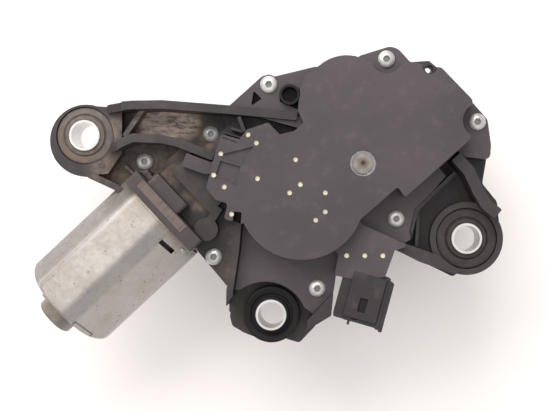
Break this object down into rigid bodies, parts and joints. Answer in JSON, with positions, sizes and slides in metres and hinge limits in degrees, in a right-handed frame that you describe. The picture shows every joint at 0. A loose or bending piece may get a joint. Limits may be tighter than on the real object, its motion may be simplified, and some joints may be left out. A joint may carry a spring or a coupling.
{
  "type": "rear wiper motor with gearbox",
  "caption": "Rear wiper drive: three-eared gear housing with lid, sealed connector, motor can, worm wheel and pendulum gear turning one output shaft.",
  "frame": {"origin": "output shaft axis, at the plane of the three mounting sleeves' lower faces, where the housing's neck starts", "axes": "+Z from the mounting side to the lid, along the output shaft; +X to the right and +Y up when the lid is seen with the motor at the lower left"},
  "size_m": [0.2037, 0.1275, 0.084],
  "materials": {
    "housing_plastic": "satin with brown dust",
    "lid_plastic": "fine satin grain",
    "connector_plastic": "satin",
    "holder_plastic": "satin",
    "tinned_brass": "dull tin plating",
    "zinc_screw": "bright zinc",
    "black_rubber": "matt",
    "grey_rubber": "matt",
    "dusty_rubber": "matt with brown dust",
    "sleeve_metal": "bright zinc",
    "sintered_bronze": "sintered",
    "steel": "machined",
    "shaft_steel": "turned, slightly brown",
    "galvanised_steel": "galvanised, stained",
    "ferrite": "matt",
    "carbon": "matt",
    "amber_resin": "gloss",
    "wheel_plastic": "satin",
    "copper": "bright copper",
    "lamination_steel": "oiled laminations"
  },
  "bodies": {
    "drive_unit": {"gear_housing": "housing_plastic", "gear_cover": "lid_plastic", "housing_neck": "housing_plastic", "connector_shroud": "connector_plastic", "lead_frame": "tinned_brass", "connector_terminals": "tinned_brass", "cover_screws": "zinc_screw", "motor_screws": "zinc_screw", "vent_tube": "black_rubber", "cover_gasket": "black_rubber", "grommet_left": "dusty_rubber", "grommet_right": "grey_rubber", "grommet_bottom": "black_rubber", "sleeve_left": "sleeve_metal", "sleeve_right": "sleeve_metal", "sleeve_bottom": "sleeve_metal", "output_bushes": "sintered_bronze", "shaft_seal": "black_rubber", "neck_cap_seal": "black_rubber", "wheel_axle": "steel", "motor_can": "galvanised_steel", "magnets": "ferrite", "magnet_clips": "steel", "rear_bearing": "sintered_bronze", "bearing_retainer": "steel", "front_bearing": "steel", "worm_end_bush": "sintered_bronze", "thrust_ball": "steel", "brush_holder": "holder_plastic", "brushes": "carbon", "brush_springs": "steel", "choke": "carbon", "capacitor": "amber_resin"},
    "output": {"output_shaft": "shaft_steel", "output_pinion": "steel", "shaft_washer": "steel", "shaft_clip": "steel"},
    "rocker": {"rocker_plate": "steel", "rocker_pin": "steel"},
    "link": {"sector_link": "steel"},
    "wheel": {"worm_wheel": "wheel_plastic", "crank_pin": "steel", "contact_disc": "copper"},
    "armature": {"armature_shaft": "steel", "worm": "steel", "armature_core": "lamination_steel", "armature_windings": "copper", "commutator": "copper"}
  },
  "joints": [
    {"name": "armature_spin", "type": "hinge", "parent": "drive_unit", "child": "armature", "pos_m": [-0.07838, -0.01399, 0.013], "axis": [-0.7314, -0.682, 0], "continuous": true},
    {"name": "wheel_spin", "type": "hinge", "parent": "drive_unit", "child": "wheel", "pos_m": [-0.032, -0.008, 0.013], "axis": [0, 0, 1], "continuous": true},
    {"name": "output_swing", "type": "hinge", "parent": "drive_unit", "child": "output", "pos_m": [0, 0, 0], "axis": [0, 0, 1], "range_deg": [0, 88.9]},
    {"name": "rocker_swing", "type": "hinge", "parent": "drive_unit", "child": "rocker", "pos_m": [0, 0, 0.027], "axis": [0, 0, 1], "range_deg": [0, 28.66]},
    {"name": "link_swing", "type": "hinge", "parent": "rocker", "child": "link", "pos_m": [-0.002, 0.03619, 0.023], "axis": [0, 0, 1], "range_deg": [-23.02, 0]}
  ],
  "couplings": [
    {"joint": "wheel_spin", "follows": "armature_spin", "ratio": -0.028571},
    {"joint": "rocker_swing", "follows": "output_swing", "ratio": 0.3218},
    {"joint": "link_swing", "follows": "output_swing", "ratio": -0.25836}
  ]
}
